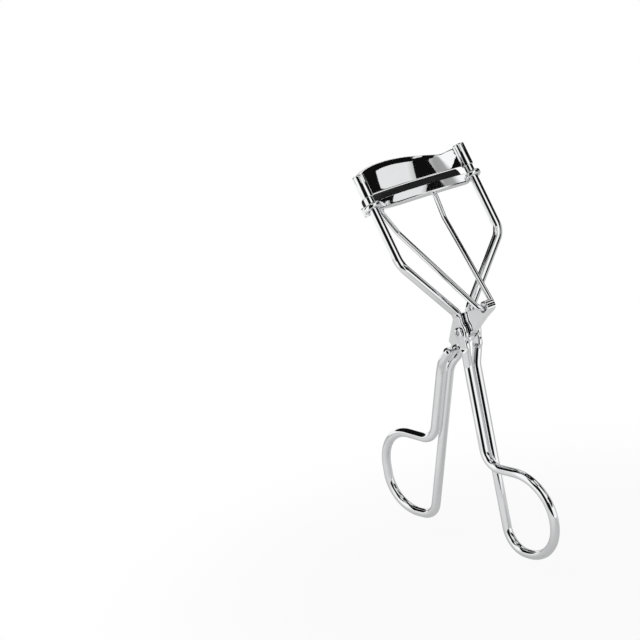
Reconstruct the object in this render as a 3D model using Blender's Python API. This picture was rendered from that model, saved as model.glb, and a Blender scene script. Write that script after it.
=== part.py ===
"""Hand-held eyelash curler made of bent wire and folded sheet metal.

A bent wire frame carries a curved upper jaw on its two rod ends. A second jaw with a soft pad
slides on the same rods. A thin U-shaped wire joins it to a lever bracket, which turns on a hollow
rivet between the flattened eyes of the frame. Squeezing the two finger loops closes the jaws.

The model stands upright: +Z runs from the finger loops to the jaws, X is the rivet's axis, and the
jaws are squeezed along Y. The origin is the centre of the frame's finger loop. Sizes are in
millimetres until a mesh is made.
"""

import math

import bmesh
import bpy
from mathutils import Matrix, Vector

MM = 0.001

# Wires
WIRE_DIAMETER = 2.5
PUSH_WIRE_DIAMETER = 1.45
WIRE_SIDES = 12
BEND_STEP = math.radians(12)
STRAIGHT_STEP = 3.0

# Clearances between pieces
SEAT_GAP = 0.25
RUN_GAP = 0.25
SIDE_GAP = 0.3

# Frame above the pivot: the necks beside the lever, the shoulders, and the straight rods
NECK_FORWARD = 1.0
NECK_RISE = 4.7
NECK_BEND = 3.0
SHOULDER_FORWARD = 3.1
SHOULDER_RISE = 21.0
SHOULDER_BEND = 5.0
ROD_SPACING = 34.6
ROD_LENGTH = 24.5
ROD_LEAN = math.radians(29.5)
ROD_END_DIAMETER = 1.9
ROD_END_LENGTH = 6.2
ROD_END_STEP = 0.25

# Flattened eyes of the frame, round the rivet
EYE_THICKNESS = 1.3
EYE_WIDTH = 4.3
STRAP_WIDTH = 3.0
EYE_REACH = 3.0
FLAT_REACH = 3.6
FLAT_BLEND = 2.4
FLAT_STEP = 0.7

# Frame handle and its finger loop
CROTCH_DROP = 9.3
CROTCH_BACK = 0.28
CROTCH_BEND = 8.0
FRAME_WIRE_SPACING = 2.8
FRAME_HANDLE_SLOPE = 0.1186
FRAME_LOOP_BACK = 12.65
FRAME_LOOP_DROP = 47.0
FRAME_LOOP_RADIUS = 11.4
FRAME_LOOP_SHOULDER = 5.2
FRAME_LOOP_HEEL = 11.4
FRAME_LOOP_CORNER = 6.6

# Lever handle and its finger loop
LEVER_WIRE_SPACING = 3.2
LEVER_HANDLE_START_FORWARD = 4.5
LEVER_HANDLE_START_DROP = 5.1
LEVER_KNEE_FORWARD = 9.7
LEVER_KNEE_DROP = 11.2
LEVER_KNEE_BEND = 8.0
LEVER_HANDLE_SLOPE = 0.277
LEVER_LOOP_FORWARD = 25.4
LEVER_LOOP_DROP = 43.9
LEVER_LOOP_RADIUS = 11.8
LEVER_LOOP_SHOULDER = 5.5
LEVER_LOOP_HEEL = 9.6
LEVER_LOOP_CORNER = 4.9

# Jaws, in a frame whose Z runs up the rods from their top ends
JAW_SAGITTA = 9.0
JAW_PITCH = 0.27
JAW_SHEET = 0.4
PLATE_DROP = 5.8
PLATE_CROWN = 4.1
CROWN_SPAN = 0.74
LIP_HEIGHT = 2.0
LIP_FLARE = 0.4
SLEEVE_LENGTH = 6.0
SLEEVE_BLEND = 2.4
ROLL_SEAM = 0.35
ROLL_STEPS = 20
ROD_END_RECESS = 0.2

# Lower jaw and its pad
JAW_GAP = 0.3
PAD_WIDTH = 2.0
PAD_PROUD = 1.9
PAD_SEAT = 1.65
PAD_END_GAP = 0.4
TRAY_WALL = 0.5
TRAY_FLOOR = 0.6
TRAY_END_ROUND = 1.5
TRAY_END_WIDTH = 1.2
GUIDE_WALL = 0.78
GUIDE_HEIGHT = 1.3
GUIDE_DROP = 8.7
GUIDE_TILT = -0.2
JAW_STEPS = 36

# Push wire
ARM_SPACING = 18.6
ARM_KNEE_SPACING = 16.0
ARM_KNEE_BACK = 0.8
ARM_DROP = 7.3
ARM_KNEE_BEND = 5.0
CROSSBAR_BEND = 1.6

# Lever bracket, measured from the pivot
BRACKET_WIDTH = 2.6
SHEET = 0.5
CROSSBAR_BACK = 7.7
CROSSBAR_RISE = 7.0
SLOT_IN = 0.35
SLOT_OUT = 0.55
WEB_LEAN = math.radians(43.5)
WEB_TAIL = 2.9
TONGUE_LENGTH = 4.5
TONGUE_WIDTH = 2.0

# Rivet
RIVET_SHANK = 1.8
RIVET_HEAD = 2.8
RIVET_HEAD_HEIGHT = 0.6
RIVET_BORE = 1.0
RIVET_BORE_DEPTH = 5.0

wire_r = WIRE_DIAMETER / 2
rod_end_r = ROD_END_DIAMETER / 2
push_r = PUSH_WIRE_DIAMETER / 2
rod_x = ROD_SPACING / 2
eye_x = BRACKET_WIDTH / 2 + SIDE_GAP + EYE_THICKNESS / 2
shank_r = RIVET_SHANK / 2
up_rod = Vector((0, math.sin(ROD_LEAN), math.cos(ROD_LEAN)))
shoulder = Vector((rod_x, SHOULDER_FORWARD, SHOULDER_RISE))
rod_top = Vector((0, SHOULDER_FORWARD, SHOULDER_RISE)) + up_rod * ROD_LENGTH
crossbar = Vector((0, -CROSSBAR_BACK, CROSSBAR_RISE))
pivot_place = Vector((0, FRAME_LOOP_BACK, FRAME_LOOP_DROP))


# Scene helpers

def clear_scene():
    for thing in list(bpy.data.objects):
        bpy.data.objects.remove(thing, do_unlink=True)


def make_material(name, colour, metallic, roughness):
    material = bpy.data.materials.new(name)
    material.use_nodes = True
    shader = material.node_tree.nodes["Principled BSDF"]
    shader.inputs["Base Color"].default_value = (*colour, 1)
    shader.inputs["Metallic"].default_value = metallic
    shader.inputs["Roughness"].default_value = roughness
    return material


def add_empty(name, place, lean=0.0):
    empty = bpy.data.objects.new(name, None)
    empty.location = place * MM
    empty.rotation_euler = (-lean, 0, 0)
    bpy.context.collection.objects.link(empty)
    return empty


def add_object(name, mesh_parts, parent, material=None):
    """Make an object from (points in millimetres, faces) under a parent empty."""
    points, faces = mesh_parts
    mesh = bpy.data.meshes.new(name)
    bm = bmesh.new()
    verts = [bm.verts.new(Vector(p) * MM) for p in points]
    for face in faces:
        bm.faces.new([verts[i] for i in face])
    bmesh.ops.recalc_face_normals(bm, faces=bm.faces)
    bm.to_mesh(mesh)
    bm.free()
    if material:
        mesh.materials.append(material)
        mesh.shade_smooth()
        mesh.set_sharp_from_angle(angle=math.radians(40))
    thing = bpy.data.objects.new(name, mesh)
    bpy.context.collection.objects.link(thing)
    thing.parent = parent
    return thing


def add_tool(name, mesh_parts, parent):
    """A hidden shape that another object is cut or joined with."""
    tool = add_object(name, mesh_parts, parent)
    tool.hide_render = True
    tool.display_type = "WIRE"
    return tool


def combine(thing, tool, operation):
    step = thing.modifiers.new(tool.name, "BOOLEAN")
    step.operation = operation
    step.solver = "EXACT"
    step.object = tool


# Shape helpers

def strip_faces(ring_count, ring_size):
    """Faces that join closed rings in a row, with a cap at each end."""
    faces = []
    for ring in range(ring_count - 1):
        for i in range(ring_size):
            j = (i + 1) % ring_size
            a = ring * ring_size
            b = a + ring_size
            faces.append((a + i, a + j, b + j, b + i))
    faces.append(tuple(range(ring_size))[::-1])
    last = (ring_count - 1) * ring_size
    faces.append(tuple(range(last, last + ring_size)))
    return faces


def rounded_route(corners):
    """Points along straight runs joined by bends. Corners are (point, bend radius)."""
    points = [point for point, _ in corners]
    turns = [0.0]
    for before, corner, after in zip(points, points[1:], points[2:]):
        turns.append((corner - before).angle(after - corner))
    turns.append(0.0)
    tangents = [radius * math.tan(turn / 2) for (_, radius), turn in zip(corners, turns)]
    for i in range(len(points) - 1):
        share = (points[i + 1] - points[i]).length / max(tangents[i] + tangents[i + 1], 1e-6)
        if share < 1:
            tangents[i] *= share
            tangents[i + 1] *= share
    route = [points[0]]
    for i in range(1, len(points) - 1):
        if turns[i] < 1e-4:
            continue
        back = (points[i - 1] - points[i]).normalized()
        ahead = (points[i + 1] - points[i]).normalized()
        radius = tangents[i] / math.tan(turns[i] / 2)
        start = points[i] + back * tangents[i]
        centre = points[i] + (back + ahead).normalized() * (radius / math.cos(turns[i] / 2))
        axis = ahead.cross(back).normalized()
        steps = max(2, math.ceil(turns[i] / BEND_STEP))
        for k in range(steps + 1):
            swing = Matrix.Rotation(turns[i] * k / steps, 3, axis)
            route.append(centre + swing @ (start - centre))
    route.append(points[-1])
    return [p for p, q in zip(route, route[1:]) if (q - p).length > 1e-3] + [route[-1]]


def fill_route(route, step_at):
    """Add points on long runs, no further apart than step_at gives for that place."""
    filled = [route[0]]
    for a, b in zip(route, route[1:]):
        while (b - filled[-1]).length > 1.5 * step_at(filled[-1]):
            filled.append(filled[-1] + (b - filled[-1]).normalized() * step_at(filled[-1]))
        filled.append(b)
    return filled


def sweep(route, half_size):
    """A wire along a route. half_size gives half its X thickness, half its width, and squareness."""
    points = []
    across = Vector((1, 0, 0))
    for i, centre in enumerate(route):
        ahead = route[min(i + 1, len(route) - 1)] - centre
        behind = centre - route[max(i - 1, 0)]
        along = (ahead.normalized() + behind.normalized()).normalized()
        side = (across - along * across.dot(along)).normalized()
        other = along.cross(side)
        thick, wide, square = half_size(centre)
        for k in range(WIRE_SIDES):
            angle = 2 * math.pi * (k + 0.5) / WIRE_SIDES
            c = math.cos(angle)
            s = math.sin(angle)
            u = thick * math.copysign(abs(c) ** (2 / square), c)
            v = wide * math.copysign(abs(s) ** (2 / square), s)
            points.append(centre + side * u + other * v)
    return points, strip_faces(len(route), WIRE_SIDES)


def turned(profile, sides, centre=Vector((0, 0, 0)), along_x=False):
    """A turned solid from (distance along the axis, radius) pairs."""
    points = []
    for height, radius in profile:
        for k in range(sides):
            angle = 2 * math.pi * (k + 0.5) / sides
            u = radius * math.cos(angle)
            v = radius * math.sin(angle)
            points.append(centre + (Vector((height, u, v)) if along_x else Vector((u, v, height))))
    return points, strip_faces(len(profile), sides)


def together(shapes):
    """Several separate shapes as one."""
    points = []
    faces = []
    for shape_points, shape_faces in shapes:
        first = len(points)
        points += shape_points
        faces += [tuple(first + i for i in face) for face in shape_faces]
    return points, faces


def plate_along_x(outline, x_from, x_to):
    """A flat plate from an outline of (Y, Z) pairs."""
    points = [Vector((x, y, z)) for x in (x_from, x_to) for y, z in outline]
    return points, strip_faces(2, len(outline))


def arc_outline(centre, radius, start, end, steps):
    return [(centre[0] + radius * math.cos(start + (end - start) * i / steps),
             centre[1] + radius * math.sin(start + (end - start) * i / steps))
            for i in range(steps + 1)]


def smooth_step(value):
    value = max(0.0, min(1.0, value))
    return value * value * (3 - 2 * value)


# Wires of the frame and the lever

def up_the_rod(centre):
    """Distance of a place on a rod from the rod's top, below it negative."""
    return (centre - rod_top).dot(up_rod) if abs(centre.x) > rod_x - wire_r else -ROD_LENGTH


def frame_section(centre):
    """Round wire, thinner in the sleeves, beaten flat beside the lever into an eye for the rivet."""
    if up_the_rod(centre) > -ROD_END_LENGTH:
        return rod_end_r, rod_end_r, 2
    away = math.hypot(centre.y, centre.z)
    flat = 1 - smooth_step((away - FLAT_REACH) / FLAT_BLEND)
    eye = math.sqrt(max(0.0, 1 - (away / EYE_REACH) ** 2))
    strap = wire_r + (STRAP_WIDTH / 2 - wire_r) * flat
    wide = max(strap, EYE_WIDTH / 2 * eye)
    thick = wire_r + (EYE_THICKNESS / 2 - wire_r) * flat
    return thick, wide, 2 + 2 * flat


def frame_step(centre):
    if abs(up_the_rod(centre) + ROD_END_LENGTH) < STRAIGHT_STEP:
        return ROD_END_STEP
    return FLAT_STEP if math.hypot(centre.y, centre.z) < FLAT_REACH + FLAT_BLEND else STRAIGHT_STEP


def loop_corners(line_at, centre, radius, side, bends, half_spacing):
    """Corners of a D-shaped finger loop hung on a straight wire, from -X round to +X.

    line_at gives the straight wire's Y at a height; side is the way the loop swells along Y.
    """
    shoulder_bend, heel_bend, corner_bend = bends
    top = centre[1] + radius
    bottom = centre[1] - radius
    outer = centre[0] + side * radius
    return [(Vector((-half_spacing, line_at(top), top)), shoulder_bend),
            (Vector((-half_spacing / 2, outer, top)), radius),
            (Vector((half_spacing / 2, outer, bottom)), heel_bend),
            (Vector((half_spacing, line_at(bottom), bottom)), corner_bend)]


def mirror_x(corner):
    point, bend = corner
    return Vector((-point.x, point.y, point.z)), bend


def make_frame_wire(parent, material):
    half_gap = FRAME_WIRE_SPACING / 2
    through_pivot = Vector((0, NECK_FORWARD, NECK_RISE)).normalized()
    flat_end = -through_pivot * FLAT_REACH

    def handle_y(height):
        return -CROTCH_BACK + (height + CROTCH_DROP) * FRAME_HANDLE_SLOPE

    right = [(Vector((rod_x, rod_top.y, rod_top.z)) - up_rod * ROD_END_RECESS, 0),
             (shoulder, SHOULDER_BEND),
             (Vector((eye_x, NECK_FORWARD, NECK_RISE)), NECK_BEND),
             (Vector((eye_x, flat_end.y, flat_end.z)), CROTCH_BEND),
             (Vector((half_gap, -CROTCH_BACK, -CROTCH_DROP)), CROTCH_BEND)]
    loop = loop_corners(handle_y, (-FRAME_LOOP_BACK, -FRAME_LOOP_DROP), FRAME_LOOP_RADIUS, -1,
                        (FRAME_LOOP_SHOULDER, FRAME_LOOP_HEEL, FRAME_LOOP_CORNER), half_gap)
    corners = [mirror_x(corner) for corner in right] + loop + right[::-1]
    route = fill_route(rounded_route(corners), frame_step)
    wire = add_object("frame_wire", sweep(route, frame_section), parent, material)
    hole = [(-eye_x - EYE_THICKNESS, shank_r + SEAT_GAP), (eye_x + EYE_THICKNESS, shank_r + SEAT_GAP)]
    combine(wire, add_tool("frame_eye_hole", turned(hole, 24, along_x=True), parent), "DIFFERENCE")


def lever_start():
    """Where the lever handle's wires begin on the bracket, and the way they run."""
    start = Vector((0, LEVER_HANDLE_START_FORWARD, -LEVER_HANDLE_START_DROP))
    knee = Vector((0, LEVER_KNEE_FORWARD, -LEVER_KNEE_DROP))
    return start, (knee - start).normalized()


def make_lever_handle(parent, material):
    half_gap = LEVER_WIRE_SPACING / 2
    seat_x = BRACKET_WIDTH / 2 + SEAT_GAP + wire_r
    start, along = lever_start()
    seat_end = start + along * TONGUE_LENGTH

    def handle_y(height):
        return LEVER_KNEE_FORWARD - (height + LEVER_KNEE_DROP) * LEVER_HANDLE_SLOPE

    right = [(Vector((seat_x, start.y, start.z)), 0),
             (Vector((seat_x, seat_end.y, seat_end.z)), LEVER_KNEE_BEND),
             (Vector((half_gap, LEVER_KNEE_FORWARD, -LEVER_KNEE_DROP)), LEVER_KNEE_BEND)]
    loop = loop_corners(handle_y, (LEVER_LOOP_FORWARD, -LEVER_LOOP_DROP), LEVER_LOOP_RADIUS, 1,
                        (LEVER_LOOP_SHOULDER, LEVER_LOOP_HEEL, LEVER_LOOP_CORNER), half_gap)
    corners = [mirror_x(corner) for corner in right] + loop + right[::-1]
    route = fill_route(rounded_route(corners), lambda centre: STRAIGHT_STEP)
    add_object("lever_handle", sweep(route, lambda centre: (wire_r, wire_r, 2)), parent, material)


# Jaws, in the frame of the rods

roll_r = rod_end_r + SEAT_GAP + JAW_SHEET / 2
jaw_r = (rod_x ** 2 + JAW_SAGITTA ** 2 - roll_r ** 2) / (2 * (JAW_SAGITTA - roll_r))
rod_angle = math.atan2(rod_x, jaw_r - JAW_SAGITTA)
pad_top = -PLATE_DROP - JAW_GAP
tray_rim = pad_top - PAD_PROUD
tray_half = PAD_WIDTH / 2 + SEAT_GAP + TRAY_WALL
tray_bottom = tray_rim - PAD_SEAT - SEAT_GAP - TRAY_FLOOR
guide_r = wire_r + RUN_GAP + GUIDE_WALL


def jaw_point(angle, outward, height):
    """A point on the jaws' arc, moved outwards and up, on the pitched plane of the jaws."""
    y = JAW_SAGITTA - jaw_r + jaw_r * math.cos(angle)
    return Vector(((jaw_r + outward) * math.sin(angle), y + outward * math.cos(angle),
                   height + JAW_PITCH * y))


def jaw_sweep(half_angle, section):
    """Sweep a closed section of (outward, height) pairs along the jaws' arc."""
    points = []
    for step in range(JAW_STEPS + 1):
        angle = half_angle * (2 * step / JAW_STEPS - 1)
        ring = section(angle)
        points += [jaw_point(angle, outward, height) for outward, height in ring]
    return points, strip_faces(JAW_STEPS + 1, len(ring))


def sheet_section(low, high, flare):
    """Section of the plate's sheet, whose top edge is flared outwards into a lip."""
    half = JAW_SHEET / 2
    cut = half / 2
    bend = high - LIP_HEIGHT
    return [(-half + cut, low), (half - cut, low), (half, low + cut), (half, bend),
            (half + flare, high - cut), (half + flare - cut, high), (flare - half + cut, high),
            (flare - half, high - cut), (-half, bend), (-half, low + cut)]


def round_rods(radius, low, high, tilt=0.0):
    """A cylinder round each rod, with its ends tilted about X."""
    places = [Vector((side * rod_x, 0, 0)) for side in (-1, 1)]
    shapes = [turned([(low, radius), (high, radius)], 24, place) for place in places]
    return [([point + Vector((0, 0, tilt * point.y)) for point in points], faces)
            for points, faces in shapes]


def make_upper_jaw(parent, material):
    """One strip of sheet: a curved plate whose ends are rolled into sleeves round the rods.

    The plate's arc touches each roll from outside, so the sheet runs on into the roll smoothly.
    """
    half = JAW_SHEET / 2
    wrap = 2 * math.pi - math.acos((roll_r - half) / (roll_r + half + ROLL_SEAM))
    points = []

    def add_ring(angle, x, y, low, high, flare):
        for outward, height in sheet_section(low, high, flare):
            points.append(Vector((x + outward * math.sin(angle), y + outward * math.cos(angle), height)))

    def add_roll(side, steps):
        for i in steps:
            angle = side * (rod_angle + wrap * i / ROLL_STEPS)
            x = side * rod_x + roll_r * math.sin(angle)
            add_ring(angle, x, roll_r * math.cos(angle), -SLEEVE_LENGTH, 0, 0)

    add_roll(-1, range(ROLL_STEPS, 0, -1))
    for step in range(JAW_STEPS + 1):
        angle = rod_angle * (2 * step / JAW_STEPS - 1)
        low = jaw_point(angle, 0, -PLATE_DROP)
        crown = max(0, 1 - (angle / rod_angle / CROWN_SPAN) ** 2)
        sleeve = 1 - smooth_step(jaw_r * (rod_angle - abs(angle)) / SLEEVE_BLEND)
        low_z = low.z + (-SLEEVE_LENGTH - low.z) * sleeve
        add_ring(angle, low.x, low.y, low_z, PLATE_CROWN * crown, LIP_FLARE * smooth_step(2 * crown))
    add_roll(1, range(1, ROLL_STEPS + 1))
    rings = JAW_STEPS + 1 + 2 * ROLL_STEPS
    add_object("upper_jaw", (points, strip_faces(rings, 10)), parent, material)


def make_lower_jaw(parent, material):
    floor = tray_bottom + TRAY_FLOOR
    inner = tray_half - TRAY_WALL
    cut = TRAY_FLOOR / 2
    tray_angle = rod_angle - guide_r / 2 / jaw_r

    def tray_section(angle):
        """A U whose outer wall is rounded in towards the guides at both ends."""
        lack = max(0, 1 - jaw_r * (tray_angle - abs(angle)) / TRAY_END_ROUND)
        width = TRAY_END_WIDTH + (2 * tray_half - TRAY_END_WIDTH) * math.sqrt(1 - lack * lack)
        back = width - tray_half
        back_inner = back - TRAY_WALL
        return [(-tray_half + cut, tray_bottom), (back - cut, tray_bottom),
                (back, tray_bottom + cut), (back, tray_rim), (back_inner, tray_rim),
                (back_inner, floor), (-inner, floor), (-inner, tray_rim), (-tray_half, tray_rim),
                (-tray_half, tray_bottom + cut)]

    jaw = add_object("lower_jaw", jaw_sweep(tray_angle, tray_section), parent, material)
    guides = round_rods(guide_r, -GUIDE_DROP - GUIDE_HEIGHT / 2, GUIDE_HEIGHT / 2 - GUIDE_DROP, GUIDE_TILT)
    combine(jaw, add_tool("guides", together(guides), parent), "UNION")
    holes = round_rods(wire_r + RUN_GAP, tray_bottom - guide_r, tray_rim + guide_r)
    arm_hole = [(-TRAY_FLOOR * 3, push_r + SEAT_GAP), (TRAY_FLOOR, push_r + SEAT_GAP)]
    holes += [turned(arm_hole, 16, arm_top(side)) for side in (-1, 1)]
    combine(jaw, add_tool("jaw_holes", together(holes), parent), "DIFFERENCE")


def make_lash_pad(parent, material):
    reach = rod_angle - math.asin((guide_r + PAD_END_GAP) / jaw_r)
    half = PAD_WIDTH / 2
    low = pad_top - PAD_PROUD - PAD_SEAT

    def pad_section(angle):
        crown = arc_outline((0, pad_top - half), half, 0, math.pi, 6)
        return [(-half, low), (half, low)] + crown

    add_object("lash_pad", jaw_sweep(reach, pad_section), parent, material)


# Push wire

def to_rods(point):
    """A point given from the pivot, in the frame of the rods."""
    return Matrix.Rotation(ROD_LEAN, 3, "X") @ (point - rod_top)


def arm_top(side):
    """Top end of an arm, halfway through the tray's floor."""
    angle = math.asin(side * ARM_SPACING / 2 / jaw_r)
    return jaw_point(angle, 0, tray_bottom + TRAY_FLOOR / 2)


def make_push_wire(parent, material):
    bar = to_rods(crossbar)
    bar_half = BRACKET_WIDTH / 2 + SIDE_GAP + push_r

    def arm(side):
        top = arm_top(side)
        under_floor = top - Vector((0, 0, TRAY_FLOOR * 2))
        knee = Vector((side * ARM_KNEE_SPACING / 2, top.y - ARM_KNEE_BACK, top.z - ARM_DROP))
        return [(top, 0), (under_floor, ARM_KNEE_BEND), (knee, ARM_KNEE_BEND),
                (Vector((side * bar_half, bar.y, bar.z)), CROSSBAR_BEND)]

    corners = arm(1) + arm(-1)[::-1]
    route = fill_route(rounded_route(corners), lambda centre: STRAIGHT_STEP)
    add_object("push_wire", sweep_thin(route), parent, material)


def sweep_thin(route):
    """A thin round wire that also runs along X, so its rings are carried from one to the next."""
    points = []
    side = Vector((0, 1, 0))
    sides = WIRE_SIDES - 2
    for i, centre in enumerate(route):
        ahead = route[min(i + 1, len(route) - 1)] - centre
        behind = centre - route[max(i - 1, 0)]
        along = (ahead.normalized() + behind.normalized()).normalized()
        side = (side - along * side.dot(along)).normalized()
        other = along.cross(side)
        for k in range(sides):
            angle = 2 * math.pi * k / sides
            points.append(centre + side * push_r * math.cos(angle) + other * push_r * math.sin(angle))
    return points, strip_faces(len(route), sides)


# Lever bracket

def slot_ends():
    """Centres of the two round ends of the knuckle's slot, which runs along the lever's arm."""
    middle = Vector((crossbar.y, crossbar.z))
    arm = middle.normalized()
    return middle - arm * SLOT_IN, middle + arm * SLOT_OUT, math.atan2(arm.y, arm.x)


def offset(point, edge_from, edge_to, distance):
    """Move a point to the inside of an outline's edge; the outline runs anticlockwise."""
    edge = (edge_to - edge_from).normalized()
    return point + Vector((-edge.y, edge.x)) * distance


def make_lever_bracket(parent, material):
    half = BRACKET_WIDTH / 2
    eye = EYE_WIDTH / 2
    near, far, turn = slot_ends()
    quarter = math.pi / 2
    barrel_r = push_r + RUN_GAP + SHEET
    arm = (far - near).normalized()
    front = Vector((-arm.y, arm.x)) * barrel_r

    up_web = Vector((-math.sin(WEB_LEAN), math.cos(WEB_LEAN)))
    web_face = Vector((-up_web.y, up_web.x)) * (shank_r + SEAT_GAP + SIDE_GAP + SHEET)
    web_top = near.dot(up_web) - 2 * barrel_r
    web = [near + front, web_face + up_web * web_top, web_face - up_web * WEB_TAIL]

    start, along = lever_start()
    start = Vector((start.y, start.z))
    along = Vector((along.y, along.z))
    tail_side = Vector((along.y, -along.x)) * TONGUE_WIDTH
    tongue_end = start + along * TONGUE_LENGTH
    flank = web + [start + tail_side * 0.75, start + tail_side * 0.5,
                   tongue_end + tail_side * 0.5, tongue_end - tail_side * 0.5,
                   start - tail_side * 0.5, start - tail_side * 1.1,
                   Vector((1.7 * eye, 1.25 * eye)), Vector((0.45 * eye, 2.05 * eye)),
                   near - arm * barrel_r * 1.6 - front * 0.95]
    barrel = arc_outline(far, barrel_r, turn - quarter, turn + quarter, 10)
    outline = [tuple(point) for point in flank] + barrel
    bracket = add_object("lever_bracket", plate_along_x(outline, -half, half), parent, material)

    clear = 10 * eye
    web_end = offset(web[2], web[1], web[2], SHEET)
    hollow = [offset(web[0], web[0], web[1], SHEET) - arm * barrel_r,
              offset(web[1], web[0], web[2], SHEET), web_end,
              web_end + (web[2] - web[1]).normalized() * clear, Vector((clear, -clear)),
              Vector((clear, clear)), near - arm * barrel_r * 1.2 - front * clear]
    hollow_cut = plate_along_x([tuple(point) for point in hollow], SHEET - half, half - SHEET)
    combine(bracket, add_tool("bracket_hollow", hollow_cut, parent), "DIFFERENCE")
    slot_r = push_r + RUN_GAP
    slot = (arc_outline(far, slot_r, turn - quarter, turn + quarter, 8)
            + arc_outline(near, slot_r, turn + quarter, turn + 3 * quarter, 8))
    through = half + SHEET
    hole = turned([(-through, shank_r + SEAT_GAP), (through, shank_r + SEAT_GAP)], 24, along_x=True)
    holes = together([plate_along_x(slot, -through, through), hole])
    combine(bracket, add_tool("bracket_holes", holes, parent), "DIFFERENCE")


# Rivet

def make_pivot_rivet(parent, material):
    seat = eye_x + EYE_THICKNESS / 2 + SEAT_GAP
    head_r = RIVET_HEAD / 2
    end = seat + RIVET_HEAD_HEIGHT
    flat_r = head_r - RIVET_HEAD_HEIGHT / 2
    half_high = seat + RIVET_HEAD_HEIGHT / 2
    profile = [(-end, flat_r), (-half_high, head_r), (-seat, head_r), (-seat, shank_r),
               (seat, shank_r), (seat, head_r), (half_high, head_r), (end, flat_r)]
    rivet = add_object("pivot_rivet", turned(profile, 24, along_x=True), parent, material)
    bore = turned([(-end - RIVET_BORE, RIVET_BORE / 2), (-end + RIVET_BORE_DEPTH, RIVET_BORE / 2)], 16,
                  along_x=True)
    combine(rivet, add_tool("rivet_bore", bore, parent), "DIFFERENCE")


def main():
    clear_scene()
    chrome = make_material("chrome", (0.78, 0.79, 0.81), 1.0, 0.08)
    rubber = make_material("black_rubber", (0.012, 0.012, 0.013), 0.0, 0.55)
    frame_axis = add_empty("frame_axis", pivot_place)
    lever_axis = add_empty("lever_axis", pivot_place)
    upper_jaw_seat = add_empty("upper_jaw_seat", pivot_place + rod_top, ROD_LEAN)
    slide_axis = add_empty("slide_axis", pivot_place + rod_top, ROD_LEAN)
    make_frame_wire(frame_axis, chrome)
    make_pivot_rivet(frame_axis, chrome)
    make_upper_jaw(upper_jaw_seat, chrome)
    make_lower_jaw(slide_axis, chrome)
    make_lash_pad(slide_axis, rubber)
    make_push_wire(slide_axis, chrome)
    make_lever_bracket(lever_axis, chrome)
    make_lever_handle(lever_axis, chrome)


main()
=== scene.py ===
# %% [markdown]
# # A chrome eyelash curler
# The real tool is bent from bright wire and stamped sheet. One thick wire makes the frame: two rods
# at the top, two flattened eyes at the pivot, and a finger loop below. A second thick wire makes the
# lever's handle. The jaws slide on the rods, and a thin wire pushes the lower one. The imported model
# already has every piece in its place, so this lesson makes each one again with smooth rounds, fine
# edges and a real finish, and hides the plain solid behind it.

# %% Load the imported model
import math

import bmesh
import bpy
from mathutils import Matrix, Vector


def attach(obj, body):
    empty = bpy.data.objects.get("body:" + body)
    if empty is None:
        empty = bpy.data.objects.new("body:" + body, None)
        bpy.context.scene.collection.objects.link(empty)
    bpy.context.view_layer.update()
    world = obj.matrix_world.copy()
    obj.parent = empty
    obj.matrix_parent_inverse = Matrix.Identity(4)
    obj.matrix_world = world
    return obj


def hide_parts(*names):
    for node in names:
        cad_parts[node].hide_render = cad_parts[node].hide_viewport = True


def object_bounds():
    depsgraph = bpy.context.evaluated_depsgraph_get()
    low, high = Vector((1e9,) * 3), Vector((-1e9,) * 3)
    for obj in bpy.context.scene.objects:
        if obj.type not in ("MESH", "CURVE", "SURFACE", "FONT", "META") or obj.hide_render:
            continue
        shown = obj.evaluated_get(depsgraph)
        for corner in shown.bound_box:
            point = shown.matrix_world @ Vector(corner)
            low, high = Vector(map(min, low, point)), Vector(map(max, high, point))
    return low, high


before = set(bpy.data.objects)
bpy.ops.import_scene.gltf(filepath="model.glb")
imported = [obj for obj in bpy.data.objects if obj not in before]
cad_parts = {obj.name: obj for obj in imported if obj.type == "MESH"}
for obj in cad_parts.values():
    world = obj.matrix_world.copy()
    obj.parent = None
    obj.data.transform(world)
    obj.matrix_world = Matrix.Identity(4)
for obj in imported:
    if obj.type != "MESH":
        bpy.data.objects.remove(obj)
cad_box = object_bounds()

bpy.context.scene.view_settings.view_transform = "Standard"
print("nodes:", ", ".join(sorted(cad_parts)))

# %% [markdown]
# ## The places everything hangs on
# All sizes below are in millimetres, and are made metres only when a mesh is written. The pivot is
# where the rivet sits. The jaws are drawn in a frame of their own, whose height runs up the leaning
# rods, because on the real tool they slide along those rods.

# %% Pivot, rods and jaw frame
MM = 0.001
PIVOT = Vector((0, 12.65, 47.0))
ROD_X = 17.3
ROD_LEAN = math.radians(29.5)
SHOULDER = Vector((ROD_X, 3.1, 21.0))
UP_ROD = Vector((0, math.sin(ROD_LEAN), math.cos(ROD_LEAN)))
ROD_TOP = Vector((0, SHOULDER.y, SHOULDER.z)) + UP_ROD * 24.5
CROSSBAR = Vector((0, -7.7, 7.0))
WIRE_R = 1.20
PUSH_R = 0.70
BRACKET_HALF = 1.3
EYE_X = 2.25
JAW_FRAME = Matrix.Translation(ROD_TOP) @ Matrix.Rotation(-ROD_LEAN, 4, "X")


def from_pivot(point):
    return (PIVOT + Vector(point)) * MM


def from_rods(point):
    return from_pivot(JAW_FRAME @ Vector(point))


def smooth_step(value):
    value = min(max(value, 0.0), 1.0)
    return value * value * (3 - 2 * value)


print("rod tops at", [round(v, 4) for v in from_rods((ROD_X, 0, 0))])

# %% [markdown]
# ## Node helpers
# Geometry Nodes and materials are both trees of nodes. These short helpers add a node, set its
# options, and either link a socket or write a number into it, so that the trees below read like
# recipes.

# %% Helpers that build node trees
def add_node(tree, kind, inputs=None, **settings):
    node = tree.nodes.new(kind)
    for name, value in settings.items():
        setattr(node, name, value)
    for key, value in (inputs or {}).items():
        put(tree, node.inputs[key], value)
    return node


def put(tree, socket, value):
    if isinstance(value, bpy.types.NodeSocket):
        tree.links.new(value, socket)
    else:
        socket.default_value = value


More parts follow.
